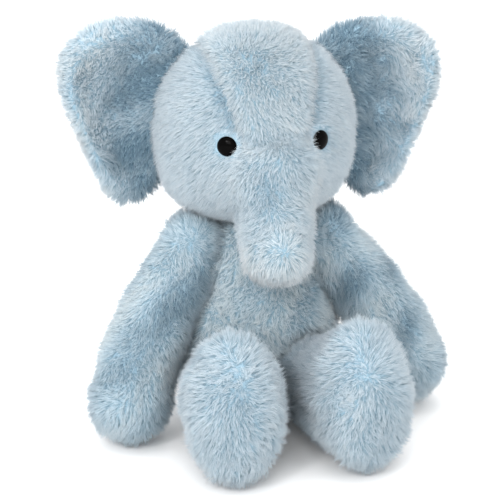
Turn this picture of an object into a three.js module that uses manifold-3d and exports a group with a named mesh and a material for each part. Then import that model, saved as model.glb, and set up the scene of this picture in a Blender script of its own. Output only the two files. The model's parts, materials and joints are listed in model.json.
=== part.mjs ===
// A seated stuffed elephant in long-pile plush: sewn shells over stuffing, joined where they flop.
// Millimetres, +Z up. It faces -Y. Its own left is +X. The origin is the middle of the flat seat.
import * as THREE from 'three';
import { mergeVertices } from 'three/addons/utils/BufferGeometryUtils.js';
import Module from 'manifold-3d';

const wasm = await Module();
wasm.setup();

// Driving dimensions
const WALL = 2.5; // plush backing and the root of its pile
const GAP = 0.3; // between pieces that touch
const PLAY = 1.5; // between pieces that turn on each other
const SLACK = 2.5; // between a shell and the stuffing in it
const WAD_SLACK = 3.4; // between a shell and the wad that a limb turns on

// The head is a ball whose lower half is squared off into cheeks. cheek and jaw are the powers of
// its outline there, seen from the front and from the side, where 2 would be round.
const HEAD = { centre: [0, 4, 204], radii: [65, 62, 62], cheek: 3, jaw: 2.4 };
const NECK = { pivot: [0, 2, 146], ball: 13 };
const TRUNK = {
  root: [0, -46, 184],
  bend: [-1, -60, 159],
  tip: [-3, -70, 134],
  rootRadius: 24,
  bendRadius: 21.5,
  tipRadius: 20,
  stuffingGap: 8, // between the ball at its root and the stuffing of the head
};
const EYE = { x: 31, z: 203, radius: 6.2, height: 3.6, edge: 0.4, stem: 1.6, stemLength: 8, recess: 1.3 };
const WASHER = { radius: 4.8, bore: 1.9, thickness: 1.2, depth: 3.4 };
const GUSSET = { crownHalf: 37, bridgeHalf: 17, bridgeZ: 200, crownZ: 270, backY: 34, reach: 150 };
const EAR = {
  centre: [92, 214],
  hinge: { foot: [66, 16, 172], head: [50, 16, 256] },
  lean: 0.12, // how far it slopes forward for each millimetre out from the hinge
  bowl: 8, // how far its middle lies behind its rim
  middleHalf: 4.5, // half thickness in the middle
  rimHalf: 8, // half thickness at the puffed rim
  rimStart: 0.8, // where the rim is fullest, as a share of the way out
  waddingGap: 1.3, // between its shell and its wadding, front and back
  waddingEdge: 4, // and round the edge
};
const SHOULDER = { pivot: [46, -8, 127], radius: 16 };
const HIP = { pivot: [29, -34, 37], radius: 25, stuffingRoom: 33 };
const TAIL = { root: [0, 50, 42], tip: [0, 70, 22], radius: 5.5 };
const TORSO = { top: 135, seatSeam: 6, sideSeamY: 4 };
const PELLETS = { top: 22, frontY: -8 }; // the bag lies behind the legs' roots

// Rest attitude of the limbs, in degrees: how far an arm is swung back and lifted out, how far a leg
// is splayed, and how far an ear is folded forward, with its shift in millimetres
const REST = {
  left: { swingBack: 11, lift: 6, splay: 2.5, fold: 14, shift: [1.5, 0, -6] },
  right: { swingBack: 0, lift: 0, splay: 0, fold: 0, shift: [0, 0, 0] },
};

const COLOURS = {
  fur: 0xb0c4d0,
  body: 0x9db8c6,
  stuffing: 0xf0efe9,
  pellets: 0xd9d3c4,
  eye: 0x0b0b0d,
  washer: 0xdadada,
};

// Solids and meshes

function solidOf(geometry) {
  geometry.deleteAttribute('normal');
  geometry.deleteAttribute('uv');
  const merged = mergeVertices(geometry, 1e-4);
  return new wasm.Manifold(new wasm.Mesh({
    numProp: 3,
    vertProperties: new Float32Array(merged.attributes.position.array),
    triVerts: new Uint32Array(merged.index.array),
  }));
}

function geometryOf(solid) {
  const mesh = solid.getMesh();
  const geometry = new THREE.BufferGeometry();
  geometry.setAttribute('position', new THREE.BufferAttribute(mesh.vertProperties, 3));
  geometry.setIndex(new THREE.BufferAttribute(mesh.triVerts, 1));
  geometry.computeVertexNormals();
  return geometry;
}

function material(colour, roughness) {
  return new THREE.MeshStandardMaterial({ color: colour, roughness, metalness: 0 });
}

const FUR = () => material(COLOURS.fur, 0.95);
const BODY_FUR = () => material(COLOURS.body, 0.95);
const STUFFING = () => material(COLOURS.stuffing, 1);

const object = new THREE.Group();

function piece(name, solid, look) {
  const mesh = new THREE.Mesh(geometryOf(solid), look);
  mesh.name = name;
  object.add(mesh);
}

// A closed skin through a stack of rings of equal length, ends closed by fans. Where a ring is one
// repeated point the fan has no area and is left out.
function stack(rings) {
  const sides = rings[0].length;
  const vertices = rings.flat();
  const faces = [];
  for (let i = 0; i < rings.length - 1; i += 1) {
    for (let j = 0; j < sides; j += 1) {
      const a = i * sides + j;
      const b = i * sides + (j + 1) % sides;
      faces.push(a, b, b + sides, a, b + sides, a + sides);
    }
  }
  const top = (rings.length - 1) * sides;
  for (let j = 1; j < sides - 1; j += 1) {
    faces.push(0, j + 1, j);
    faces.push(top, top + j, top + j + 1);
  }
  const points = vertices.flatMap((v) => [v.x, v.y, v.z]);
  const geometry = new THREE.BufferGeometry();
  geometry.setAttribute('position', new THREE.Float32BufferAttribute(points, 3));
  geometry.setIndex(faces);
  const merged = mergeVertices(geometry, 1e-4);
  const kept = [];
  const index = merged.index.array;
  for (let i = 0; i < index.length; i += 3) {
    const [a, b, c] = [index[i], index[i + 1], index[i + 2]];
    if (a !== b && b !== c && c !== a) kept.push(a, b, c);
  }
  merged.setIndex(kept);
  return merged;
}

// A limb: a tube of changing radius along a smooth spine, with a round cap at both ends.
// keys is a list of { at, wide, tall }, inset makes it thinner all round.
function limb(keys, { inset = 0, sides = 12, steps = 4, caps = 3, tipLength = 1 } = {}) {
  const spine = new THREE.CatmullRomCurve3(keys.map((k) => k.at));
  const count = keys.length - 1;
  const radiusAt = (t, name) => {
    const i = Math.min(Math.floor(t * count), count - 1);
    const f = t * count - i;
    const ease = f * f * (3 - 2 * f);
    return THREE.MathUtils.lerp(keys[i][name], keys[i + 1][name], ease) - inset;
  };
  const across = new THREE.Vector3(1, 0, 0);
  const rings = [];
  const ring = (centre, tangent, wide, tall) => {
    const side = across.clone().addScaledVector(tangent, -across.dot(tangent)).normalize();
    const up = side.clone().cross(tangent);
    rings.push(Array.from({ length: sides }, (_, j) => {
      const angle = (2 * Math.PI * j) / sides;
      return centre.clone()
        .addScaledVector(side, wide * Math.cos(angle))
        .addScaledVector(up, -tall * Math.sin(angle));
    }));
  };
  for (let i = 0; i <= caps - 1; i += 1) {
    const angle = (Math.PI / 2) * (i / caps);
    const tangent = spine.getTangent(0);
    const reach = radiusAt(0, 'tall') * Math.cos(angle);
    const centre = keys[0].at.clone().addScaledVector(tangent, -reach);
    ring(centre, tangent, radiusAt(0, 'wide') * Math.sin(angle), radiusAt(0, 'tall') * Math.sin(angle));
  }
  for (let i = 0; i <= steps; i += 1) {
    const t = i / steps;
    ring(spine.getPoint(t), spine.getTangent(t), radiusAt(t, 'wide'), radiusAt(t, 'tall'));
  }
  for (let i = caps - 1; i >= 0; i -= 1) {
    const angle = (Math.PI / 2) * (i / caps);
    const tangent = spine.getTangent(1);
    const reach = radiusAt(1, 'wide') * Math.cos(angle) * tipLength;
    const centre = keys[count].at.clone().addScaledVector(tangent, reach);
    ring(centre, tangent, radiusAt(1, 'wide') * Math.sin(angle), radiusAt(1, 'tall') * Math.sin(angle));
  }
  return solidOf(stack(rings));
}

function ball(centre, radius, detail = 12) {
  const geometry = new THREE.SphereGeometry(radius, detail, Math.ceil(detail * 0.6));
  return solidOf(geometry.translate(...centre));
}

// Half of everything: the side of a plane through point that normal points to
function halfSpace(point, normal) {
  const size = 600;
  const geometry = new THREE.BoxGeometry(size, size, size).translate(0, 0, size / 2);
  const turn = new THREE.Quaternion().setFromUnitVectors(new THREE.Vector3(0, 0, 1), normal);
  geometry.applyQuaternion(turn);
  return solidOf(geometry.translate(point.x, point.y, point.z));
}

function sideOf(solid, point, normal) {
  const unit = normal.clone().normalize();
  const start = point.clone().addScaledVector(unit, GAP / 2);
  return solid.intersect(halfSpace(start, unit));
}

const vec = (list, side = 1) => new THREE.Vector3(list[0] * side, list[1], list[2]);

// Torso: a pear on a flat seat

const TORSO_RINGS = [
  // height, half width, half depth, middle in Y
  [0, 28, 27, 0],
  [2, 37, 34, 0],
  [9, 45, 40, 0],
  [24, 51, 44, 0],
  [46, 54, 45, 0],
  [70, 50, 42, 0],
  [94, 42, 36, 1],
  [114, 35, 31, 1],
  [127, 30, 26, 2],
  [TORSO.top, 21, 19, 2],
];

function torsoForm(inset, sides = 20) {
  const last = TORSO_RINGS.length - 1;
  const rings = TORSO_RINGS.map(([height, wide, deep, middle], i) => {
    const z = i === 0 ? height + inset : i === last ? height - inset : height;
    const level = i === 1 ? Math.max(z, inset + 1) : z;
    return Array.from({ length: sides }, (_, j) => {
      const angle = (2 * Math.PI * j) / sides;
      return new THREE.Vector3(
        (wide - inset) * Math.cos(angle),
        middle + (deep - inset) * Math.sin(angle),
        level,
      );
    });
  });
  return solidOf(stack(rings));
}

// Head: how much wider than a ball it is at height z, which runs from -1 to 1

function squared(z, power) {
  if (z > 0 || z < -0.9999) return 1;
  return (1 - Math.abs(z) ** power) ** (1 / power) / Math.sqrt(1 - z * z);
}

function headForm(inset, across = 20, down = 12) {
  const geometry = new THREE.SphereGeometry(1, across, down);
  geometry.rotateX(Math.PI / 2);
  const place = geometry.attributes.position;
  const [rx, ry, rz] = HEAD.radii.map((r) => r - inset);
  for (let i = 0; i < place.count; i += 1) {
    const [x, y, z] = [place.getX(i), place.getY(i), place.getZ(i)];
    place.setXYZ(i, x * rx * squared(z, HEAD.cheek), y * ry * squared(z, HEAD.jaw), z * rz);
  }
  return solidOf(geometry.translate(...HEAD.centre));
}

// Limbs

const turnAbout = (point, pivot, axis, degrees) => point.clone().sub(pivot)
  .applyAxisAngle(axis, THREE.MathUtils.degToRad(degrees)).add(pivot);

const X_AXIS = new THREE.Vector3(1, 0, 0);
const Y_AXIS = new THREE.Vector3(0, 1, 0);
const Z_AXIS = new THREE.Vector3(0, 0, 1);

function armKeys(side) {
  const rest = side > 0 ? REST.left : REST.right;
  const pivot = vec(SHOULDER.pivot, side);
  const keys = [
    { at: SHOULDER.pivot, wide: SHOULDER.radius, tall: SHOULDER.radius },
    { at: [61, -15, 103], wide: 20, tall: 20 },
    { at: [82.5, -25.5, 66], wide: 24, tall: 22.5 },
    { at: [93.5, -35, 28.5], wide: 25.7, tall: 25.7 },
  ];
  return keys.map((key) => {
    const lifted = turnAbout(vec(key.at, side), pivot, Y_AXIS, -side * rest.lift);
    return { ...key, at: turnAbout(lifted, pivot, X_AXIS, rest.swingBack) };
  });
}

const LEG_KEYS = [
  { at: HIP.pivot, wide: HIP.radius, tall: HIP.radius },
  { at: [32, -60, 37], wide: 27, tall: 29.5 },
  { at: [36.5, -86, 43], wide: 29.5, tall: 39 },
  { at: [41, -109, 49.5], wide: 32.5, tall: 49 },
];

function legKeys(side) {
  const pivot = vec(HIP.pivot, side);
  const { splay } = side > 0 ? REST.left : REST.right;
  return LEG_KEYS.map((key) => {
    const splayed = turnAbout(vec(key.at, side), pivot, Z_AXIS, side * splay);
    return { ...key, at: splayed };
  });
}

const roundKey = (at, radius) => ({ at: vec(at), wide: radius, tall: radius });
const trunkBaseKeys = [roundKey(TRUNK.root, TRUNK.rootRadius), roundKey(TRUNK.bend, TRUNK.bendRadius)];
const trunkTipKeys = [roundKey(TRUNK.bend, TRUNK.bendRadius), roundKey(TRUNK.tip, TRUNK.tipRadius)];
const tailKeys = [roundKey(TAIL.root, TAIL.radius), roundKey(TAIL.tip, TAIL.radius)];

// Ears: a bowl with a puffed rim. The outline runs from the top of the root out, down and back in.
const EAR_OUTLINE = [
  [41, 260], [62, 271], [84, 275], [106, 272], [124, 257], [126, 229], [112, 190],
  [99, 160], [84, 147], [70, 153], [68.5, 174], [71, 204], [62, 237],
];

function earRing(side, share, depth, inset, count) {
  const [cx, cz] = EAR.centre;
  const corners = EAR_OUTLINE.map(([x, z]) => new THREE.Vector3(x, 0, z));
  const outline = new THREE.CatmullRomCurve3(corners, true).getSpacedPoints(count).slice(0, count);
  const hinge = vec(EAR.hinge.foot);
  const ring = outline.map((edge) => {
    const [dx, dz] = [edge.x - cx, edge.z - cz];
    const reach = share * (1 - inset / Math.hypot(dx, dz));
    const x = cx + dx * reach;
    const middle = hinge.y - EAR.lean * (x - hinge.x) + EAR.bowl * (1 - reach * reach);
    return new THREE.Vector3(x * side, middle + depth, cz + dz * reach);
  });
  const placed = ring.map((point) => restEar(point, side));
  return side > 0 ? placed : placed.reverse();
}

function restEar(point, side) {
  const foot = vec(EAR.hinge.foot, side);
  const axis = vec(EAR.hinge.head, side).sub(foot).normalize();
  const { fold, shift } = side > 0 ? REST.left : REST.right;
  return turnAbout(point, foot, axis, -side * fold).add(vec(shift));
}

function earHalfThickness(share) {
  if (share > EAR.rimStart) {
    const past = (share - EAR.rimStart) / (1 - EAR.rimStart);
    return EAR.rimHalf * Math.sqrt(Math.max(0, 1 - past * past));
  }
  const f = share / EAR.rimStart;
  return THREE.MathUtils.lerp(EAR.middleHalf, EAR.rimHalf, f * f);
}

// inset makes it thinner, and edge draws its outline in
function earForm(side, shares, count, inset = 0, edge = inset) {
  const thin = (share) => (share === 1 ? 0 : earHalfThickness(share) - inset);
  const front = shares.map((share) => earRing(side, share, -thin(share), edge, count));
  const back = shares.slice(0, -1).reverse()
    .map((share) => earRing(side, share, thin(share), edge, count));
  return solidOf(stack([...front, ...back]));
}

// Everything in front of the middle of the ear, or behind it
const EAR_REACH = 70;

function earFrontOrBack(side, isFront, count) {
  const direction = isFront ? -1 : 1;
  const shares = [0, 0.45, 0.8, 1, 1.25];
  const middle = shares.map((share) => earRing(side, share, direction * (GAP / 2), 0, count));
  const away = earRing(side, 1.25, direction * EAR_REACH, 0, count);
  const rings = isFront ? [away, ...middle.reverse()] : [...middle, away];
  return solidOf(stack(rings));
}

// The inside of a sewn shell, which is coarser than its outside
const LINING = { inset: WALL, sides: 10, steps: 3, caps: 2 };

// Sweeping: coarse copies of a limb's root at several turns, to cut room for its motion

function sweptRoot(keys, pivot, turns) {
  const room = { inset: -PLAY, sides: 12, steps: 1, caps: 2 };
  const copies = turns.map((turn) => {
    const turned = keys.map((key) => {
      const point = turn.reduce((at, [axis, degrees]) => turnAbout(at, pivot, axis, degrees), key.at);
      return { ...key, at: point };
    });
    return limb(turned, room);
  });
  return copies.reduce((all, copy) => all.add(copy));
}

const largest = (solid) => solid.decompose().sort((a, b) => b.volume() - a.volume())[0];

// Assembly

const SIDES = [['left', 1], ['right', -1]];
const rootBall = (pivot, radius, detail = 14) => ball([pivot.x, pivot.y, pivot.z], radius, detail);

function eyeFrame(side) {
  const [rx, ry] = HEAD.radii;
  const [cx, cy] = HEAD.centre;
  const depth = ry * Math.sqrt(1 - (EYE.x / rx) ** 2);
  const surface = new THREE.Vector3(cx + side * EYE.x, cy - depth, EYE.z);
  const normal = new THREE.Vector3((side * EYE.x) / rx ** 2, -depth / ry ** 2, 0).normalize();
  return { seat: surface.addScaledVector(normal, -EYE.recess), normal };
}

// A turned part from a list of [radius, height], placed with its axis along normal
function turned(profile, at, normal, sides = 12) {
  const rings = profile.map(([radius, height]) => Array.from({ length: sides }, (_, j) => {
    const angle = (2 * Math.PI * j) / sides;
    return new THREE.Vector3(radius * Math.cos(angle), radius * Math.sin(angle), height);
  }));
  const geometry = stack(rings);
  geometry.applyQuaternion(new THREE.Quaternion().setFromUnitVectors(Z_AXIS, normal));
  return solidOf(geometry.translate(at.x, at.y, at.z));
}

function eyeParts(side) {
  const { seat, normal } = eyeFrame(side);
  const domeSteps = 3;
  const dome = Array.from({ length: domeSteps + 1 }, (_, i) => {
    const angle = (Math.PI / 2) * (i / domeSteps);
    return [EYE.radius * Math.cos(angle), EYE.edge + (EYE.height - EYE.edge) * Math.sin(angle)];
  });
  const eye = turned(
    [[EYE.stem, -EYE.stemLength], [EYE.stem, 0], [EYE.radius, 0], ...dome],
    seat,
    normal,
  );
  const cut = turned(
    [[EYE.stem + GAP, -EYE.stemLength - 1], [EYE.stem + GAP, -GAP], [EYE.radius + GAP, -GAP],
      [EYE.radius + GAP, 8]],
    seat,
    normal,
  );
  const washerAt = seat.clone().addScaledVector(normal, -WASHER.depth - WASHER.thickness);
  const disc = turned([[WASHER.radius, 0], [WASHER.radius, WASHER.thickness]], washerAt, normal);
  const bore = turned([[WASHER.bore, -1], [WASHER.bore, WASHER.thickness + 1]], washerAt, normal);
  const pocket = turned(
    [[WASHER.radius + GAP, -GAP], [WASHER.radius + GAP, WASHER.depth]],
    washerAt,
    normal,
  );
  return { eye, cut, washer: disc.subtract(bore), pocket };
}

function gussetPrism(grow) {
  const shape = new THREE.Shape();
  shape.moveTo(-GUSSET.bridgeHalf - grow, GUSSET.bridgeZ - grow);
  shape.lineTo(GUSSET.bridgeHalf + grow, GUSSET.bridgeZ - grow);
  shape.lineTo(GUSSET.crownHalf + grow, GUSSET.crownZ);
  shape.lineTo(-GUSSET.crownHalf - grow, GUSSET.crownZ);
  shape.closePath();
  const geometry = new THREE.ExtrudeGeometry(shape, { depth: GUSSET.reach, bevelEnabled: false });
  geometry.rotateX(Math.PI / 2);
  return solidOf(geometry.translate(0, GUSSET.backY, 0));
}

function addHead() {
  const neckRoom = rootBall(vec(NECK.pivot), NECK.ball + PLAY);
  const trunkTurns = [-15, 5, 25].map((degrees) => [[X_AXIS, -degrees]]);
  const trunkRoom = sweptRoot(trunkBaseKeys, vec(TRUNK.root), trunkTurns)
    .add(rootBall(vec(TRUNK.root), TRUNK.rootRadius + PLAY));
  const trunkBall = rootBall(vec(TRUNK.root), TRUNK.rootRadius + TRUNK.stuffingGap, 12);
  const stuffingRoom = trunkBall.add(neckRoom);
  let shell = headForm(0).subtract(headForm(WALL, 18, 11)).subtract(neckRoom.add(trunkRoom));
  let stuffing = headForm(WALL + SLACK, 14, 8).subtract(stuffingRoom);
  SIDES.forEach(([name, side]) => {
    const { eye, cut, washer, pocket } = eyeParts(side);
    shell = shell.subtract(cut);
    stuffing = stuffing.subtract(cut).subtract(pocket);
    piece(`eye_${name}`, eye, material(COLOURS.eye, 0.08));
    piece(`eye_washer_${name}`, washer, material(COLOURS.washer, 0.5));
  });
  const behind = new THREE.Vector3(0, GUSSET.backY, 0);
  const front = sideOf(shell, behind, Y_AXIS.clone().negate());
  piece('head_back', sideOf(shell, behind, Y_AXIS), FUR());
  piece('head_gusset', largest(front.intersect(gussetPrism(0))), FUR());
  const sidePanels = front.subtract(gussetPrism(GAP));
  SIDES.forEach(([name, side]) => {
    const half = sideOf(sidePanels, vec([0, 0, 0]), vec([side, 0, 0]));
    piece(`head_side_${name}`, largest(half), FUR());
  });
  piece('head_stuffing', largest(stuffing), STUFFING());
  piece('neck_stuffing', rootBall(vec(NECK.pivot), NECK.ball), STUFFING());
}

function addTrunk() {
  const bendRoom = rootBall(vec(TRUNK.bend), TRUNK.bendRadius + PLAY);
  const stretches = [
    ['trunk_base', trunkBaseKeys, bendRoom],
    ['trunk_tip', trunkTipKeys, null],
  ];
  stretches.forEach(([name, keys, cut]) => {
    const shape = { steps: 3, tipLength: name === 'trunk_tip' ? 0.75 : 1 };
    const outer = limb(keys, shape);
    let shell = outer.subtract(limb(keys, { ...shape, ...LINING }));
    let stuffing = limb(keys, { ...shape, inset: WALL + SLACK, sides: 8, steps: 3, caps: 2 });
    if (cut) {
      shell = shell.subtract(cut);
      stuffing = stuffing.subtract(cut);
    }
    const middle = keys[0].at;
    const along = keys[1].at.clone().sub(middle);
    const upward = X_AXIS.clone().cross(along).normalize();
    const top = upward.z > 0 ? upward : upward.negate();
    piece(`${name}_top`, sideOf(shell, middle, top), FUR());
    piece(`${name}_under`, sideOf(shell, middle, top.clone().negate()), FUR());
    piece(`${name}_stuffing`, largest(stuffing), STUFFING());
  });
}

function addEars() {
  const shares = [0, 0.45, 0.8, 0.93, 1];
  const liningShares = [0, 0.5, 0.85, 1];
  const count = 20;
  const liningCount = 16;
  SIDES.forEach(([name, side]) => {
    const lining = earForm(side, liningShares, liningCount, WALL);
    const shell = earForm(side, shares, count).subtract(lining);
    const wadding = earForm(side, liningShares, liningCount, WALL + EAR.waddingGap, WALL + EAR.waddingEdge);
    piece(`ear_${name}_front`, shell.intersect(earFrontOrBack(side, true, count)), FUR());
    piece(`ear_${name}_back`, shell.intersect(earFrontOrBack(side, false, count)), FUR());
    piece(`ear_${name}_wadding`, wadding, STUFFING());
  });
}

function addTorso() {
  let room = rootBall(vec(NECK.pivot), NECK.ball + PLAY).add(ball(TAIL.root, TAIL.radius + PLAY));
  let stuffingRoom = room;
  SIDES.forEach(([, side]) => {
    const shoulderRoom = rootBall(vec(SHOULDER.pivot, side), SHOULDER.radius + PLAY);
    const turns = [-60, -32, -4, 25].flatMap((lift) => [-3, 15].map((splay) => (
      [[X_AXIS, -lift], [Z_AXIS, side * splay]])));
    const legRoom = sweptRoot(legKeys(side).slice(0, 2), vec(HIP.pivot, side), turns);
    const hipRoom = rootBall(vec(HIP.pivot, side), HIP.radius + PLAY);
    room = room.add(shoulderRoom).add(legRoom).add(hipRoom);
    const hipBall = rootBall(vec(HIP.pivot, side), HIP.stuffingRoom, 12);
    stuffingRoom = stuffingRoom.add(shoulderRoom).add(hipBall);
  });
  const shell = torsoForm(0).subtract(torsoForm(WALL, 14)).subtract(room);
  const seatTop = vec([0, 0, TORSO.seatSeam]);
  const upper = sideOf(shell, seatTop, Z_AXIS);
  const sideSeam = vec([0, TORSO.sideSeamY, 0]);
  piece('torso_seat', largest(sideOf(shell, seatTop, Z_AXIS.clone().negate())), BODY_FUR());
  piece('torso_front', largest(sideOf(upper, sideSeam, Y_AXIS.clone().negate())), BODY_FUR());
  piece('torso_back', largest(sideOf(upper, sideSeam, Y_AXIS)), BODY_FUR());
  const filling = torsoForm(WALL + SLACK, 12).subtract(stuffingRoom);
  const pelletTop = vec([0, 0, PELLETS.top]);
  piece('torso_stuffing', largest(sideOf(filling, pelletTop, Z_AXIS)), STUFFING());
  const bottom = sideOf(filling, pelletTop, Z_AXIS.clone().negate());
  const pellets = largest(sideOf(bottom, vec([0, PELLETS.frontY, 0]), Y_AXIS));
  piece('seat_pellet_bag', pellets, material(COLOURS.pellets, 0.9));
}

function addArms() {
  SIDES.forEach(([name, side]) => {
    const keys = armKeys(side);
    const shell = limb(keys).subtract(limb(keys, LINING));
    const pivot = keys[0].at;
    const along = keys[3].at.clone().sub(pivot);
    const outward = Y_AXIS.clone().cross(along).normalize().multiplyScalar(side);
    const away = outward.x * side > 0 ? outward : outward.negate();
    piece(`arm_${name}_outer`, sideOf(shell, keys[1].at, away), FUR());
    piece(`arm_${name}_inner`, sideOf(shell, keys[1].at, away.clone().negate()), FUR());
    const wadRadius = SHOULDER.radius - WALL - WAD_SLACK;
    const filling = limb(keys, { inset: WALL + SLACK, sides: 8, steps: 3, caps: 2 });
    const stuffing = filling.subtract(rootBall(pivot, wadRadius + PLAY + GAP));
    piece(`arm_${name}_stuffing`, largest(stuffing), STUFFING());
    piece(`shoulder_${name}_stuffing`, ball([pivot.x, pivot.y, pivot.z], wadRadius, 10), STUFFING());
  });
}

function addLegs() {
  SIDES.forEach(([name, side]) => {
    const keys = legKeys(side);
    const shape = { tipLength: 0.8 };
    const shell = limb(keys, shape).subtract(limb(keys, { ...shape, ...LINING }));
    const pivot = keys[0].at;
    const toe = keys[3].at.clone().add(vec([0, -4, 0]));
    const forward = vec([side * 0.1, -1, 0.05]).normalize();
    const body = sideOf(shell, toe, forward.clone().negate());
    piece(`leg_${name}_foot`, sideOf(shell, toe, forward), FUR());
    piece(`leg_${name}_upper`, sideOf(body, pivot, Z_AXIS), FUR());
    piece(`leg_${name}_lower`, sideOf(body, pivot, Z_AXIS.clone().negate()), FUR());
    const wadRadius = HIP.radius - WALL - WAD_SLACK;
    const filling = limb(keys, { ...shape, inset: WALL + SLACK, sides: 8, steps: 3, caps: 2 });
    const stuffing = filling.subtract(rootBall(pivot, wadRadius + PLAY + GAP));
    piece(`leg_${name}_stuffing`, largest(stuffing), STUFFING());
    piece(`hip_${name}_stuffing`, ball([pivot.x, pivot.y, pivot.z], wadRadius, 10), STUFFING());
  });
}

addHead();
addTrunk();
addEars();
addTorso();
addArms();
addLegs();
piece('tail', limb(tailKeys, { sides: 10, steps: 2 }), BODY_FUR());

export default object;
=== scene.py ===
import json
import math

import bmesh
import bpy
import numpy as np
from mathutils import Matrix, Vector
from mathutils.bvhtree import BVHTree
from mathutils.kdtree import KDTree

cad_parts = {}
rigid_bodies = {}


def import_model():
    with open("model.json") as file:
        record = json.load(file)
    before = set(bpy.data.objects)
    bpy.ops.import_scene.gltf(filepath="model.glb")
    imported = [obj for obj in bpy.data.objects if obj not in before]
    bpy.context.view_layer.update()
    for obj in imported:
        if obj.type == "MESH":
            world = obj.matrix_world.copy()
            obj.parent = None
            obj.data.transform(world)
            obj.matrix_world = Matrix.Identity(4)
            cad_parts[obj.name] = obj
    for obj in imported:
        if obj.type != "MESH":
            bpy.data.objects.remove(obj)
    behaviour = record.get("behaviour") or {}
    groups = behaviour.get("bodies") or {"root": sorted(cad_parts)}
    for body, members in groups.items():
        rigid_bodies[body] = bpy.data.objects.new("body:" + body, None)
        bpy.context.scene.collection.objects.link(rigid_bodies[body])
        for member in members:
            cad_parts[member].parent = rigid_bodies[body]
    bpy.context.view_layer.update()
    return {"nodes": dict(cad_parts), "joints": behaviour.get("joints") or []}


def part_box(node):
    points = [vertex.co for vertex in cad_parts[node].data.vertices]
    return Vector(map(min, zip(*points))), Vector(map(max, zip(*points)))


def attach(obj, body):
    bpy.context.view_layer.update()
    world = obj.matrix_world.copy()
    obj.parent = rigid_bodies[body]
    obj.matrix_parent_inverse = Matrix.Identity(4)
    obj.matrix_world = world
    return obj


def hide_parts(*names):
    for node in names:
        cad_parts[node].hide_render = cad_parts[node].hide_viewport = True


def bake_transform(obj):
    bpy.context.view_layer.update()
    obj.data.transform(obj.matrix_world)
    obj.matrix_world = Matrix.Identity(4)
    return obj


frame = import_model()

MM = 0.001
PER_SQUARE_METRE = 1e4  # square centimetres
SIDES = (("left", 1), ("right", -1))
JOINT = {j["name"]: j for j in frame["joints"]}

SKIN_DEPTH = 2.0 * MM  # how far the woven backing lies under the pile's usual surface
FLOOR_CLEARANCE = 0.4 * MM
PRESSURE = 4  # of the air that swells a skin
SIMULATED_FRAMES = 20

ROOT_DEPTH = 0.4 * MM  # a strand starts this far inside its skin
SHORTEST, LONGEST = 2 * MM, 16 * MM  # strands
UNDERCOAT_LENGTH = 0.74  # of a strand's usual length
STRAYS = 0.07  # the share of strands that keep out of their tuft
TUFT_REACH = 0.86  # a tuft's strands lean to a point this share of their length out
BUNCHED = 0.75  # how far strands go towards that point where bunch is 1
DRIFT = 30 * MM  # the pile's direction and shade wander over about this distance
PATCH = 24 * MM  # and how flat it lies, over about this distance
PLAIN_SHADE = 0.55  # of 0, the coolest and darkest, to 1, the warmest and palest
EYE_ROOM = 6.5 * MM  # no strand is rooted nearer than this to the middle of an eye
EYE_REACH = 9.4 * MM  # strands combed towards an eye are cut short within this
EYE_TRIM = 0.75  # of their length
SHADE_SPREAD = 0.012  # across a strand, so that its faces have some area in the map


def pivot(joint):
    return np.array(JOINT[joint]["pos_m"], float)


def centre_of(*nodes):
    corners = [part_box(n) for n in nodes]
    low = np.min([c[0] for c in corners], axis=0)
    high = np.max([c[1] for c in corners], axis=0)
    return (low + high) / 2


def unit(v):
    return v / np.maximum(np.linalg.norm(v, axis=-1, keepdims=True), 1e-12)


# ---------------------------------------------------------------- meshes


def new_object(name, vertices, faces):
    mesh = bpy.data.meshes.new(name)
    mesh.from_pydata([tuple(v) for v in vertices], [], [tuple(f) for f in faces])
    mesh.update()
    obj = bpy.data.objects.new(name, mesh)
    bpy.context.scene.collection.objects.link(obj)
    return obj


def coordinates(obj):
    co = np.empty(len(obj.data.vertices) * 3, np.float32)
    obj.data.vertices.foreach_get("co", co)
    return co.reshape(-1, 3).astype(float)


def set_coordinates(obj, co):
    obj.data.vertices.foreach_set("co", co.astype(np.float32).ravel())
    obj.data.update()


def normals(obj):
    out = np.empty(len(obj.data.vertices) * 3, np.float32)
    obj.data.vertices.foreach_get("normal", out)
    return out.reshape(-1, 3).astype(float)


def node_tree_of(nodes):
    """The vertices of several CAD nodes, and one search tree over their faces."""
    vertices, faces = [], []
    for name in nodes:
        mesh = frame["nodes"][name].data
        start = len(vertices)
        vertices += [v.co.copy() for v in mesh.vertices]
        faces += [[start + i for i in p.vertices] for p in mesh.polygons]
    return vertices, BVHTree.FromPolygons(vertices, faces)


def apply_modifiers(obj):
    graph = bpy.context.evaluated_depsgraph_get()
    mesh = bpy.data.meshes.new_from_object(obj.evaluated_get(graph))
    obj.modifiers.clear()
    old = obj.data
    obj.data = mesh
    bpy.data.meshes.remove(old)


# ---------------------------------------------------------------- skins


def smooth(obj, rounds):
    """Evens out a mesh without shrinking it: every step inward has a step outward."""
    steps = (0.6, -0.62)
    co = coordinates(obj)
    edges = np.array([e.vertices for e in obj.data.edges])
    count = np.bincount(edges.ravel(), minlength=len(co))[:, None]
    for step in range(2 * rounds):
        total = np.zeros_like(co)
        np.add.at(total, edges[:, 0], co[edges[:, 1]])
        np.add.at(total, edges[:, 1], co[edges[:, 0]])
        mean = total / np.maximum(count, 1)
        co = co + steps[step % 2] * (mean - co)
    set_coordinates(obj, co)


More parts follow.
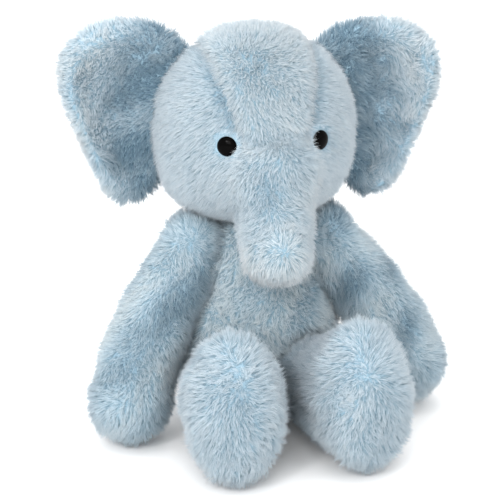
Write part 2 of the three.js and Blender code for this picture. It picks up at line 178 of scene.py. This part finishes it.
def wrapped_skin(name, nodes, voxel, reach, rounds):
    """A closed even mesh over the outside of some CAD panels, bridging the gaps between them."""
    vertices, tree = node_tree_of(nodes)
    hull = bmesh.new()
    for v in vertices:
        hull.verts.new(v)
    bmesh.ops.convex_hull(hull, input=hull.verts)
    loose = [v for v in hull.verts if not v.link_faces]
    bmesh.ops.delete(hull, geom=loose, context="VERTS")
    mesh = bpy.data.meshes.new(name)
    hull.to_mesh(mesh)
    hull.free()
    obj = bpy.data.objects.new(name, mesh)
    bpy.context.scene.collection.objects.link(obj)
    remesh = obj.modifiers.new("even", "REMESH")
    remesh.mode = "VOXEL"
    remesh.voxel_size = voxel
    apply_modifiers(obj)
    co = coordinates(obj)
    for i, point in enumerate(co):
        near, _, _, distance = tree.find_nearest(Vector(point))
        if distance < reach:
            co[i] = near
    set_coordinates(obj, co)
    smooth(obj, rounds)
    return obj


def puff(obj, cap):
    """Cloth under a little air pressure, with no point moving further than cap."""
    scene = bpy.context.scene
    before = coordinates(obj)
    cloth = obj.modifiers.new("cloth", "CLOTH")
    cloth.settings.use_pressure = True
    cloth.settings.uniform_pressure_force = PRESSURE
    cloth.settings.effector_weights.gravity = 0
    cloth.settings.quality = 4
    cloth.point_cache.frame_start = 1
    cloth.point_cache.frame_end = SIMULATED_FRAMES
    for number in range(1, SIMULATED_FRAMES + 1):
        scene.frame_set(number)
    graph = bpy.context.evaluated_depsgraph_get()
    blown = obj.evaluated_get(graph).to_mesh()
    after = np.array([v.co for v in blown.vertices], float)
    obj.evaluated_get(graph).to_mesh_clear()
    obj.modifiers.remove(cloth)
    scene.frame_set(1)
    move = after - before
    length = np.linalg.norm(move, axis=1, keepdims=True)
    move *= np.minimum(1, cap / np.maximum(length, 1e-9))
    set_coordinates(obj, before + move)


def seam_closeness(points, panels, width):
    """1 on the line where two panels meet, falling to 0 a width away."""
    trees = [node_tree_of([p])[1] for p in panels]
    near = np.array([[t.find_nearest(Vector(p))[3] for t in trees] for p in points])
    near.sort(axis=1)
    return np.exp(-((near[:, 1] - near[:, 0]) / width) ** 2)


def fillet(obj, neighbours, spread):
    """Swells a skin where it comes close to a neighbouring part, so that the two run together."""
    tree = node_tree_of(neighbours)[1]
    co = coordinates(obj)
    gap = np.array([tree.find_nearest(Vector(p))[3] for p in co])
    rise = np.maximum(spread - gap, 0) ** 2 / (4 * spread)
    set_coordinates(obj, co + rise[:, None] * normals(obj))


def tuck(obj, neighbours, reach):
    """Draws a skin's edge into the part that it's sewn to, so that no gap shows between them."""
    tree = node_tree_of(neighbours)[1]
    co = coordinates(obj)
    found = [tree.find_nearest(Vector(p)) for p in co]
    near = np.array([f[0] for f in found], float)
    gap = np.array([f[3] for f in found])
    pull = np.clip(reach - gap, 0, gap + 4 * MM)
    set_coordinates(obj, co + pull[:, None] * unit(near - co))


def carry(obj, body):
    """Hangs a piece on a body. Where body is two bodies and two points, only applies its
    transform.
    """
    if isinstance(body, str):
        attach(obj, body)
    else:
        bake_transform(obj)


def make_skin(
    name, body, panels, voxel=4 * MM, reach=9 * MM, rounds=8, cap=2.5 * MM, seams=True,
    depth=SKIN_DEPTH, meets=(), spread=20 * MM, sewn_to=(), tuck_reach=24 * MM, seam=1.2 * MM,
):
    """The cloth of one body, in place of its CAD panels.

    meets are panels that it swells towards, from spread away, and sewn_to those that its edge is
    drawn into, from tuck_reach away. seam is how deep the seams between its own panels lie.
    """
    obj = wrapped_skin(name, panels, voxel, reach, rounds)
    set_coordinates(obj, coordinates(obj) - depth * normals(obj))
    if sewn_to:
        tuck(obj, sewn_to, tuck_reach)
    if meets:
        fillet(obj, meets, spread)
    puff(obj, cap)
    if seams and len(panels) > 1:
        near = seam_closeness(coordinates(obj), panels, 4 * MM)
        set_coordinates(obj, coordinates(obj) - (seam * near)[:, None] * normals(obj))
    obj.modifiers.new("fine", "SUBSURF").levels = 1
    apply_modifiers(obj)
    co = coordinates(obj)
    co[:, 2] = np.maximum(co[:, 2], FLOOR_CLEARANCE)
    set_coordinates(obj, co)
    obj.data.polygons.foreach_set("use_smooth", [True] * len(obj.data.polygons))
    carry(obj, body)
    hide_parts(*panels)
    return obj


# ---------------------------------------------------------------- pile


def waves(points, seed, scale):
    """A smooth random vector at every point, by sums of sines about scale long."""
    rng = np.random.default_rng(seed)
    out = np.zeros_like(points)
    for _ in range(6):
        k = unit(rng.normal(size=3)) * 2 * math.pi / (scale * rng.uniform(0.7, 1.4))
        out += np.sin(points @ k + rng.uniform(0, 6.28))[:, None] * rng.normal(size=3)
    return out / 2.4


def surface_samples(obj, count, rng):
    """Points spread evenly over a mesh by chance, and its smooth normals there."""
    mesh = obj.data
    mesh.calc_loop_triangles()
    triangles = np.empty(len(mesh.loop_triangles) * 3, np.int32)
    mesh.loop_triangles.foreach_get("vertices", triangles)
    triangles = triangles.reshape(-1, 3)
    co, nor = coordinates(obj), normals(obj)
    a, b, c = (co[triangles[:, i]] for i in range(3))
    area = np.linalg.norm(np.cross(b - a, c - a), axis=1) / 2
    pick = np.searchsorted(np.cumsum(area) / area.sum(), rng.random(count))
    pick = np.minimum(pick, len(area) - 1)
    u, v = rng.random(count), rng.random(count)
    flip = u + v > 1
    u[flip], v[flip] = 1 - u[flip], 1 - v[flip]
    weights = np.stack([1 - u - v, u, v], axis=1)[:, :, None]
    corners = triangles[pick]
    return (co[corners] * weights).sum(1), unit((nor[corners] * weights).sum(1))


def area_of(obj):
    return sum(p.area for p in obj.data.polygons)


def nearest_index(points, centres):
    tree = KDTree(len(centres))
    for i, c in enumerate(centres):
        tree.insert(c, i)
    tree.balance()
    return np.array([tree.find(p)[1] for p in points])


def tangent(direction, normal):
    flat = direction - (direction * normal).sum(1, keepdims=True) * normal
    return unit(flat)


def grow(
    skin, name, body, comb, material, seed,
    density=158, length=8.8 * MM, lean=43, mess=0.45, width=0.6 * MM, tuft=2.0 * MM,
    bunch=0.52, length_at=None, keep=None, shade_at=None, tousle=0.35, undercoat=0.45,
    clear=(),
):
    """Pile on a skin: one mesh of thin tapered strands.

    density is strands for each square centimetre, and width is a strand's at its root. comb gives
    the way that the pile lies, lean is its angle from the skin's normal in degrees, and mess and
    tousle are how far its direction and its shade wander. Strands lean towards the middle of their
    tuft by bunch, but for the undercoat's share of them, which is shorter. tuft is the distance
    between tufts. keep, length_at and shade_at change the pile from place to place, and strands
    combed towards the spots in clear are cut short there.
    """
    rng = np.random.default_rng(seed)
    share = 1.0
    count = int(area_of(skin) * PER_SQUARE_METRE * density * share)
    root, nor = surface_samples(skin, count, rng)
    if keep is not None:
        wanted = keep(root, nor)
        root, nor = root[wanted], nor[wanted]
        count = len(root)
    tufts = max(20, int(area_of(skin) / tuft**2))
    middle, middle_nor = surface_samples(skin, tufts, rng)
    own = nearest_index(root, middle)

    tuft_length = rng.normal(1, 0.1, tufts)
    tuft_shade = rng.normal(0, 0.06, tufts)
    tuft_turn = rng.normal(0, 1, (tufts, 3))
    flow = comb(root, nor) + mess * (waves(root, seed + 1, DRIFT) + 0.55 * tuft_turn[own])
    flow += 0.16 * rng.normal(size=(count, 3))
    flow = tangent(flow, nor)
    middle_flow = comb(middle, middle_nor)
    middle_flow += mess * (waves(middle, seed + 1, DRIFT) + 0.55 * tuft_turn)
    middle_flow = tangent(middle_flow, middle_nor)

    under = rng.random(count) < undercoat
    size = length * tuft_length[own] * rng.normal(1, 0.1, count)
    size *= np.where(under, UNDERCOAT_LENGTH, 1)
    if length_at is not None:
        size *= length_at(root)
    size = np.clip(size, SHORTEST, LONGEST)[:, None]
    patches = waves(root, seed + 3, PATCH)[:, 1]
    angle = np.radians(rng.normal(lean, 8, count) + 26 * tousle * patches - 10 * under)[:, None]
    tip = root + size * (nor * np.cos(angle) + flow * np.sin(angle))

    tuft_lean = math.radians(lean) * 0.9
    reach = (length * tuft_length)[:, None]
    gather = middle + reach * TUFT_REACH * (
        middle_nor * math.cos(tuft_lean) + middle_flow * math.sin(tuft_lean))
    stray = rng.random(count) < STRAYS
    pull = np.where(stray | under, 0, np.clip(rng.normal(bunch, 0.12, count), 0, 0.9))[:, None]
    tip += pull * BUNCHED * (gather[own] - tip)

    for spot in clear:
        from_tip = np.linalg.norm(tip - spot, axis=1)
        from_root = np.linalg.norm(root - spot, axis=1)
        close = np.minimum(from_tip, from_root - 1 * MM) < EYE_REACH
        close &= (flow * (spot - root)).sum(1) > 0
        tip[close] -= EYE_TRIM * (tip - root)[close]
    tip[:, 2] = np.maximum(tip[:, 2], FLOOR_CLEARANCE + 0.3 * MM)

    # each strand is three corners at its root and a point at its tip, open only inside the skin
    along = unit(tip - root)
    side = unit(np.cross(nor, along))
    over = np.cross(along, side)
    half = (width / 2 * rng.uniform(0.7, 1.3, count))[:, None]
    roll = rng.normal(0, 0.5, count)[:, None]
    corners, outward = [], []
    for degrees in (30, 150, 270):
        turn = roll + math.radians(degrees)
        outward.append(side * np.cos(turn) + over * np.sin(turn))
        corners.append(root - ROOT_DEPTH * nor + half * outward[-1])
    vertices = np.stack([*corners, tip], axis=1)
    outward = np.stack([*outward, along], axis=1)

    shade = PLAIN_SHADE + tuft_shade[own] + rng.normal(0, 0.035, count)
    shade += 0.17 * tousle * waves(root, seed + 2, DRIFT)[:, 0]
    # shade_at gives paler or deeper tone, and in places painted shade and painted light: ear
    # hollows and rims, legs, forehead panel
    if shade_at is not None:
        shade += shade_at(root, nor)
    shade = np.clip(shade, 0.03, 0.97)

    faces = np.array([(0, 1, 3), (1, 2, 3), (2, 0, 3)])
    loops = ((np.arange(count) * 4)[:, None] + faces.ravel()).astype(np.int32)
    mesh = bpy.data.meshes.new(name)
    mesh.vertices.add(count * 4)
    mesh.vertices.foreach_set("co", vertices.astype(np.float32).ravel())
    mesh.loops.add(loops.size)
    mesh.loops.foreach_set("vertex_index", loops.ravel())
    mesh.polygons.add(loops.size // 3)
    mesh.polygons.foreach_set("loop_start", np.arange(0, loops.size, 3, dtype=np.int32))
    mesh.update(calc_edges=True)
    mesh.polygons.foreach_set("use_smooth", [True] * len(mesh.polygons))

    # the map's first way holds a strand's shade, its second how far along the strand a point is
    across = np.array([-SHADE_SPREAD, 0, SHADE_SPREAD, 0])
    height = np.array([0.02, 0.02, 0.02, 0.98])
    uv = np.empty((count, faces.size, 2), np.float32)
    uv[:, :, 0] = shade[:, None] + across[faces.ravel()]
    uv[:, :, 1] = height[faces.ravel()]
    layer = mesh.uv_layers.new(name="OFBake")
    layer.data.foreach_set("uv", uv.ravel())

    soft = unit(outward + 0.5 * nor[:, None])
    mesh.normals_split_custom_set_from_vertices(soft.reshape(-1, 3).astype(np.float32))
    obj = bpy.data.objects.new(name, mesh)
    bpy.context.scene.collection.objects.link(obj)
    obj.data.materials.append(material)
    carry(obj, body)


# ---------------------------------------------------------------- materials


def nodes_of(material):
    material.use_nodes = True
    return material.node_tree.nodes, material.node_tree.links


def pile_material(name, root, middle, tip):
    """Colour runs from a strand's root to its tip, and differs a little from tuft to tuft."""
    material = bpy.data.materials.new(name)
    nodes, links = nodes_of(material)
    shader = nodes["Principled BSDF"]
    shader.inputs["Roughness"].default_value = 0.82
    shader.inputs["Specular IOR Level"].default_value = 0.25
    shader.inputs["Sheen Weight"].default_value = 0.3
    shader.inputs["Sheen Roughness"].default_value = 0.45
    shader.inputs["Sheen Tint"].default_value = (0.86, 0.93, 1.0, 1)
    place = nodes.new("ShaderNodeUVMap")
    place.uv_map = "OFBake"
    split = nodes.new("ShaderNodeSeparateXYZ")
    links.new(place.outputs["UV"], split.inputs[0])
    along = nodes.new("ShaderNodeValToRGB")
    along.color_ramp.elements[0].position = 0.0
    along.color_ramp.elements[0].color = (*root, 1)
    along.color_ramp.elements[1].position = 1.0
    along.color_ramp.elements[1].color = (*tip, 1)
    half = along.color_ramp.elements.new(0.5)
    half.color = (*middle, 1)
    links.new(split.outputs["Y"], along.inputs["Fac"])
    # shade tints from cool and dark to warm and pale; its ends carry the painted shade and painted
    # light of ears, legs and forehead
    tint = nodes.new("ShaderNodeValToRGB")
    tint.color_ramp.elements[0].color = (0.27, 0.38, 0.45, 1)
    tint.color_ramp.elements[1].color = (1.22, 1.13, 1.07, 1)
    tint.color_ramp.elements.new(PLAIN_SHADE).color = (1, 1, 1, 1)
    links.new(split.outputs["X"], tint.inputs["Fac"])
    mix = nodes.new("ShaderNodeMix")
    mix.data_type = "RGBA"
    mix.blend_type = "MULTIPLY"
    mix.inputs["Factor"].default_value = 1
    links.new(along.outputs["Color"], mix.inputs["A"])
    links.new(tint.outputs["Color"], mix.inputs["B"])
    links.new(mix.outputs["Result"], shader.inputs["Base Color"])
    return material


def backing_material(name, colour, dark):
    """Knitted backing cloth under the pile."""
    material = bpy.data.materials.new(name)
    nodes, links = nodes_of(material)
    shader = nodes["Principled BSDF"]
    shader.inputs["Roughness"].default_value = 0.95
    shader.inputs["Specular IOR Level"].default_value = 0.15
    place = nodes.new("ShaderNodeTexCoord")
    knit = nodes.new("ShaderNodeTexVoronoi")
    knit.inputs["Scale"].default_value = 900
    links.new(place.outputs["Object"], knit.inputs["Vector"])
    ramp = nodes.new("ShaderNodeValToRGB")
    ramp.color_ramp.elements[0].color = (*dark, 1)
    ramp.color_ramp.elements[1].color = (*colour, 1)
    ramp.color_ramp.elements[1].position = 0.5
    links.new(knit.outputs["Distance"], ramp.inputs["Fac"])
    links.new(ramp.outputs["Color"], shader.inputs["Base Color"])
    bump = nodes.new("ShaderNodeBump")
    bump.inputs["Strength"].default_value = 0.5
    bump.inputs["Distance"].default_value = 0.3 * MM
    links.new(knit.outputs["Distance"], bump.inputs["Height"])
    links.new(bump.outputs["Normal"], shader.inputs["Normal"])
    return material


def fibre_material(name, light, dark, scale, roughness=0.95):
    """Loose fibre, cloth or moulded plastic with a fine grain."""
    material = bpy.data.materials.new(name)
    nodes, links = nodes_of(material)
    shader = nodes["Principled BSDF"]
    shader.inputs["Roughness"].default_value = roughness
    place = nodes.new("ShaderNodeTexCoord")
    noise = nodes.new("ShaderNodeTexNoise")
    noise.inputs["Scale"].default_value = scale
    noise.inputs["Detail"].default_value = 6
    links.new(place.outputs["Object"], noise.inputs["Vector"])
    ramp = nodes.new("ShaderNodeValToRGB")
    ramp.color_ramp.elements[0].color = (*dark, 1)
    ramp.color_ramp.elements[0].position = 0.3
    ramp.color_ramp.elements[1].color = (*light, 1)
    ramp.color_ramp.elements[1].position = 0.7
    links.new(noise.outputs["Fac"], ramp.inputs["Fac"])
    links.new(ramp.outputs["Color"], shader.inputs["Base Color"])
    bump = nodes.new("ShaderNodeBump")
    bump.inputs["Strength"].default_value = 0.4
    bump.inputs["Distance"].default_value = 0.5 * MM
    links.new(noise.outputs["Fac"], bump.inputs["Height"])
    links.new(bump.outputs["Normal"], shader.inputs["Normal"])
    return material


def eye_material():
    """Black moulded plastic under a clear gloss, with a faint brown that varies by noise."""
    material = bpy.data.materials.new("eye_gloss")
    nodes, links = nodes_of(material)
    shader = nodes["Principled BSDF"]
    shader.inputs["Roughness"].default_value = 0.14
    shader.inputs["IOR"].default_value = 1.12
    place = nodes.new("ShaderNodeTexCoord")
    noise = nodes.new("ShaderNodeTexNoise")
    noise.inputs["Scale"].default_value = 260
    links.new(place.outputs["Object"], noise.inputs["Vector"])
    ramp = nodes.new("ShaderNodeValToRGB")
    ramp.color_ramp.elements[0].color = (0.0002, 0.0002, 0.0002, 1)
    ramp.color_ramp.elements[1].color = (0.001, 0.0008, 0.0008, 1)
    links.new(noise.outputs["Fac"], ramp.inputs["Fac"])
    links.new(ramp.outputs["Color"], shader.inputs["Base Color"])
    return material


PALE = pile_material(
    "pale_pile", root=(0.21, 0.335, 0.415), middle=(0.475, 0.585, 0.655), tip=(0.685, 0.75, 0.79))
DEEP = pile_material(
    "deep_pile", root=(0.19, 0.315, 0.40), middle=(0.43, 0.56, 0.64), tip=(0.64, 0.73, 0.78))
BACKING = backing_material("backing", (0.33, 0.47, 0.56), (0.2, 0.32, 0.41))
FIBRE = fibre_material("fibre_fill", (0.87, 0.86, 0.83), (0.62, 0.61, 0.58), 420)
CANVAS = fibre_material("pellet_bag_cloth", (0.72, 0.67, 0.56), (0.45, 0.41, 0.33), 900)
WASHER = fibre_material("washer_plastic", (0.72, 0.72, 0.71), (0.6, 0.6, 0.6), 1500, roughness=0.5)
EYE = eye_material()

for name, obj in frame["nodes"].items():
    inner = WASHER if "washer" in name else CANVAS if "pellet" in name else FIBRE
    obj.data.materials.clear()
    obj.data.materials.append(inner)

# ---------------------------------------------------------------- the way the pile lies

HEAD_PANELS = ["head_side_left", "head_side_right", "head_gusset", "head_back"]
TORSO_PANELS = ["torso_front", "torso_back", "torso_seat"]
TRUNK_BASE_PANELS = ["trunk_base_top", "trunk_base_under"]
TRUNK_TIP_PANELS = ["trunk_tip_top", "trunk_tip_under"]
ARM_PANELS = [f"arm_{side_name}_{part}" for side_name, _ in SIDES for part in ("outer", "inner")]
HEAD_RADIUS = 62 * MM

head_centre = centre_of(*HEAD_PANELS)
gusset_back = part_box("head_gusset")[1].y
face_back = head_centre[1] + 10 * MM
trunk_root = pivot("trunk_bend")
trunk_bend = pivot("trunk_tip_bend")
trunk_tip_end = centre_of("trunk_tip_top")
trunk_tip_end[2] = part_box("trunk_tip_under")[0].z + 20 * MM
eye_seats = [centre_of(f"eye_{side_name}") for side_name, _ in SIDES]


def past_gusset(points):
    """How far each point lies outside the forehead's middle panel, below zero inside it."""
    panels = ("head_gusset", "head_side_left", "head_side_right")
    middle, *others = [node_tree_of([p])[1] for p in panels]
    to_middle = np.array([middle.find_nearest(Vector(p))[3] for p in points])
    to_sides = np.min([[t.find_nearest(Vector(p))[3] for p in points] for t in others], axis=0)
    return np.where(points[:, 1] < gusset_back, to_middle - to_sides, 1)


def head_comb(points, nor):
    """Forward over the crown, down the forehead, and down and outward on the side panels.

    Over the bridge of the trunk it is ruffled.
    """
    off_middle = (points[:, 0] - head_centre[0]) / (65 * MM)
    parted = np.interp(past_gusset(points), (-3 * MM, 2 * MM), (0, 1))
    parted *= np.clip(1.6 * np.abs(off_middle) + 0.3, 0, 1)
    crown = np.clip(nor[:, 2], 0, 1) * np.tanh((30 * MM - points[:, 1]) / (10 * MM))
    out = np.empty_like(points)
    out[:, 0] = 0.1 * off_middle + 0.75 * parted * np.sign(points[:, 0])
    out[:, 1] = 0.25 * parted - 0.9 * (1 - parted) * crown
    out[:, 2] = -1
    above_trunk = points[:, 2] - trunk_root[2] - 6 * MM
    bridge = np.exp(-(points[:, 0] / (11 * MM)) ** 2 - (above_trunk / (20 * MM)) ** 2)
    bridge *= points[:, 1] < trunk_root[1]
    return out + 1.5 * bridge[:, None] * waves(points, 5, 9 * MM)


def away_from(point, down=0.0):
    """Outward from a point, and down as well."""
    def comb(points, nor):
        out = unit(points - point)
        out[:, 2] -= down
        return out
    return comb


def downward(points, nor):
    return np.tile((0, 0, -0.8), (len(points), 1))


def trunk_comb(points, nor):
    """Down the trunk, and outward from the middle of its end, which turns a little forward."""
    along = unit(trunk_tip_end - trunk_root)
    face = trunk_tip_end + np.array([0, -18, 4]) * MM
    from_face = points - face
    end = np.clip(1 - np.linalg.norm(from_face, axis=1) / (22 * MM), 0, 1)[:, None]
    return (1 - end) * along + 1.6 * end * unit(from_face)


def seam_painted_light_and_shadow(points, nor):
    """Painted light on the forehead's puffed-up middle panel, and painted shadow beside it."""
    past = past_gusset(points)
    beside = -0.22 * np.exp(-((past - 3 * MM) / (3.5 * MM)) ** 2)
    return np.where(points[:, 2] > trunk_root[2] + 30 * MM, beside + 0.2 * (past < 0), 0)


def trunk_shade(points, nor):
    """Paler all over, and palest at the end."""
    along = unit(trunk_tip_end - trunk_bend)
    return 0.07 + 0.33 * np.clip(((points - trunk_tip_end) @ along) / (16 * MM) + 0.6, 0, 1)


def ear_painted_shade_and_light(points, nor):
    """Ear front: painted shade in the hollow beside the head, painted light round the rim."""
    out = np.linalg.norm((points - head_centre)[:, [0, 2]], axis=1) - HEAD_RADIUS
    hollow = np.interp(out, (0, 22 * MM, 36 * MM, 50 * MM), (-0.5, -0.45, -0.2, 0.2))
    return np.where(nor[:, 1] < 0.3, hollow, -0.05)


def leg_painted_shade(front):
    """Painted shade deepening towards the hip, 30 to 60 mm behind the sole, which is at front."""
    def shade(points, nor):
        return -0.05 - 0.2 * np.clip((points[:, 1] - front - 30 * MM) / (30 * MM), 0, 1)
    return shade


def torso_shade(points, nor):
    """Paler all over."""
    return 0.3


def on_face(points, nor):
    wanted = points[:, 1] < face_back
    for seat in eye_seats:
        wanted &= np.linalg.norm(points - seat, axis=1) > EYE_ROOM
    return wanted


def at_the_back(points, nor):
    return points[:, 1] >= face_back


def head_length(points):
    """Shorter along the seams of the forehead, and shorter still round the eyes."""
    scale = 1 - 0.35 * np.exp(-((past_gusset(points) - 2 * MM) / (3 * MM)) ** 2)
    for seat in eye_seats:
        gap = np.linalg.norm(points - seat, axis=1)
        scale = np.minimum(scale, np.clip(0.4 + (gap - EYE_ROOM) / (14 * MM), 0.4, 1))
    return scale


# ---------------------------------------------------------------- the pieces

head = make_skin("head_skin", "head", HEAD_PANELS, rounds=10, meets=TRUNK_BASE_PANELS,
                 spread=24 * MM, seam=2 * MM)
swell = np.clip(-past_gusset(coordinates(head)) / (5 * MM), 0, 1)
swell *= coordinates(head)[:, 2] > trunk_root[2]
set_coordinates(head, coordinates(head) + (1.8 * MM * swell)[:, None] * normals(head))
for name, keep, density, seed in (
    ("head_face_pile", on_face, 210, 11),
    ("head_back_pile", at_the_back, 150, 12),
):
    grow(head, name, "head", head_comb, PALE, seed, density=density, mess=0.22,
         tousle=0.15, bunch=0.4, width=0.54 * MM, undercoat=0.55, keep=keep, clear=eye_seats,
         length_at=head_length, shade_at=seam_painted_light_and_shadow)

half_bend = 12 * MM * unit(trunk_tip_end - trunk_root)
crossing = ("trunk_base", "trunk_tip", trunk_bend - half_bend, trunk_bend + half_bend)
trunk = make_skin("trunk_skin", crossing, TRUNK_BASE_PANELS + TRUNK_TIP_PANELS,
                  cap=1.5 * MM, meets=HEAD_PANELS, spread=24 * MM, seams=False, depth=0.6 * MM)
grow(trunk, "trunk_pile", crossing, trunk_comb, PALE, 21, lean=40, mess=0.35,
     shade_at=trunk_shade)

for side_name, side in SIDES:
    seed = 100 if side > 0 else 200
    body = f"ear_{side_name}"
    panels = [f"{body}_front", f"{body}_back"]
    ear = make_skin(f"{body}_skin", body, panels, voxel=3.2 * MM, reach=16 * MM,
                    rounds=10, cap=1.2 * MM, sewn_to=HEAD_PANELS, seams=False)
    low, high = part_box(panels[0])
    ear_root = np.array([low.x if side > 0 else high.x, pivot(f"{body}_fold")[1],
                         low.z * 0.45 + high.z * 0.55])
    grow(ear, f"{body}_pile", body, away_from(ear_root, 0.15), PALE, seed + 1,
         density=190, length=8.4 * MM, width=0.56 * MM, mess=0.65, tousle=0.4, bunch=0.5,
         shade_at=ear_painted_shade_and_light)

    body = f"arm_{side_name}"
    panels = [f"{body}_outer", f"{body}_inner"]
    arm = make_skin(f"{body}_skin", body, panels, meets=TORSO_PANELS + HEAD_PANELS,
                    spread=40 * MM)
    grow(arm, f"{body}_pile", body, away_from(pivot(f"{body}_lift")), DEEP, seed + 11,
         mess=0.6, tousle=0.9)

    body = f"leg_{side_name}"
    panels = [f"{body}_{part}" for part in ("upper", "lower", "foot")]
    leg = make_skin(f"{body}_skin", body, panels)
    low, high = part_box(f"{body}_foot")
    toe = np.array([(low.x + high.x) / 2, low.y + 4 * MM, low.z + 0.82 * (high.z - low.z)])
    grow(leg, f"{body}_pile", body, away_from(toe, 0.3), PALE, seed + 21, mess=0.85,
         shade_at=leg_painted_shade(low.y))

torso = make_skin("torso_skin", "torso", TORSO_PANELS, rounds=10,
                  meets=ARM_PANELS + HEAD_PANELS, spread=40 * MM)
grow(torso, "torso_pile", "torso", downward, DEEP, 41, lean=40, mess=0.9,
     tousle=1.0, bunch=0.5, shade_at=torso_shade)
tail = make_skin("tail_skin", "tail", ["tail"], voxel=2 * MM, cap=0.5 * MM,
                 seams=False)
grow(tail, "tail_pile", "tail", away_from(pivot("tail_wag")), DEEP, 51,
     density=420, length=7 * MM, lean=52, mess=0.3, bunch=0.2)


def eye(side_name):
    """A domed safety eye with its stem, turned about the line that the CAD eye stands on."""
    node = frame["nodes"][f"eye_{side_name}"]
    points = np.array([v.co for v in node.data.vertices], float)
    hub = points.mean(0)
    outward = unit(hub - head_centre)
    outward[2] = 0
    outward = unit(outward)
    height = (points - hub) @ outward
    across = np.linalg.norm(points - hub - height[:, None] * outward, axis=1)
    widest = across.max()
    rim = height[across > 0.97 * widest].min()
    radius = 1.06 * widest  # a little more than the CAD eye has, since fur covers the edge
    top = height.max()
    base = rim + 0.25 * MM  # of the dome
    stem = across[height < rim - 2 * MM].max()
    least = 0.01 * MM  # the rings at the axis, merged below
    profile = [(0, height.min()), (stem, height.min()), (stem, rim), (radius * 0.96, rim)]
    steps = 16
    for i in range(steps + 1):
        angle = math.pi / 2 * i / steps
        profile.append((radius * math.cos(angle) ** 0.9, base + (top - base) * math.sin(angle)))
    sides = 48
    start = Vector(hub)
    axis = Vector(outward)
    right = axis.cross(Vector((0, 0, 1))).normalized()
    up = right.cross(axis)
    vertices, faces = [], []
    for r, h in profile:
        for j in range(sides):
            angle = 2 * math.pi * j / sides
            spoke = right * math.cos(angle) + up * math.sin(angle)
            vertices.append(start + axis * h + spoke * max(r, least))
    for i in range(len(profile) - 1):
        for j in range(sides):
            a, b = i * sides + j, i * sides + (j + 1) % sides
            faces.append((a, b, b + sides, a + sides))
    obj = new_object(f"eye_{side_name}_dome", vertices, faces)
    shape = bmesh.new()
    shape.from_mesh(obj.data)
    bmesh.ops.remove_doubles(shape, verts=shape.verts, dist=0.02 * MM)
    bmesh.ops.recalc_face_normals(shape, faces=shape.faces)
    shape.to_mesh(obj.data)
    shape.free()
    obj.data.polygons.foreach_set("use_smooth", [True] * len(obj.data.polygons))
    obj.data.materials.append(EYE)
    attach(obj, "head")
    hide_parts(f"eye_{side_name}")


for side_name, _ in SIDES:
    eye(side_name)

for skin in [o for o in bpy.data.objects if o.name.endswith("_skin")]:
    skin.data.materials.clear()
    skin.data.materials.append(BACKING)

# ---------------------------------------------------------------- stage, light and camera


def stage_floor():
    half = 8.0
    corners = [(-half, -half, 0), (half, -half, 0), (half, half, 0), (-half, half, 0)]
    floor = new_object("floor", corners, [(0, 1, 2, 3)])
    material = bpy.data.materials.new("floor_paper")
    nodes, links = nodes_of(material)
    shader = nodes["Principled BSDF"]
    shader.inputs["Roughness"].default_value = 0.9
    shader.inputs["Base Color"].default_value = (0.93, 0.93, 0.93, 1)
    floor.data.materials.append(material)


def soft_box(name, place, target, size, power, colour):
    light = bpy.data.lights.new(name, "AREA")
    light.shape = "SQUARE"
    light.size = size
    light.energy = power
    light.color = colour
    obj = bpy.data.objects.new(name, light)
    bpy.context.scene.collection.objects.link(obj)
    obj.location = place
    obj.rotation_euler = (Vector(target) - Vector(place)).to_track_quat("-Z", "Y").to_euler()


def lights():
    aim = (0, 0, 0.13)
    white = (1, 1, 1)
    soft_box("key", (-0.75, -1.7, 1.15), aim, size=1.2, power=22, colour=(1.0, 0.985, 0.98))
    soft_box("fill", (1.3, -1.5, 0.6), aim, size=1.2, power=2, colour=(0.94, 0.98, 1.0))
    soft_box("top", (0.0, 0.1, 1.8), aim, size=1.4, power=11, colour=white)
    soft_box("glint", (-1.0, -1.2, 1.1), aim, size=0.25, power=7, colour=white)
    world = bpy.data.worlds.new("studio")
    bpy.context.scene.world = world
    world.use_nodes = True
    world.node_tree.nodes["Background"].inputs["Color"].default_value = (1, 1, 1, 1)
    world.node_tree.nodes["Background"].inputs["Strength"].default_value = 1.3


CAMERA_TURN = math.radians(-14)
CAMERA_RISE = math.radians(19)
CAMERA_DISTANCE = 1.3
SENSOR = 36  # millimetres, as Blender has it
FRAME_HEIGHT = 0.33  # of the plane through the toy that fills the picture
LOOK_AT = Vector((-0.0083, -0.0206, 0.1225))


def camera():
    back = Vector((math.sin(CAMERA_TURN) * math.cos(CAMERA_RISE),
                   -math.cos(CAMERA_TURN) * math.cos(CAMERA_RISE), math.sin(CAMERA_RISE)))
    data = bpy.data.cameras.new("view")
    data.sensor_width = SENSOR
    data.lens = SENSOR * CAMERA_DISTANCE / FRAME_HEIGHT
    obj = bpy.data.objects.new("view", data)
    bpy.context.scene.collection.objects.link(obj)
    obj.location = LOOK_AT + back * CAMERA_DISTANCE
    obj.rotation_euler = back.to_track_quat("Z", "Y").to_euler()
    bpy.context.scene.camera = obj


stage_floor()
lights()
camera()
bpy.context.scene.view_settings.view_transform = "Standard"
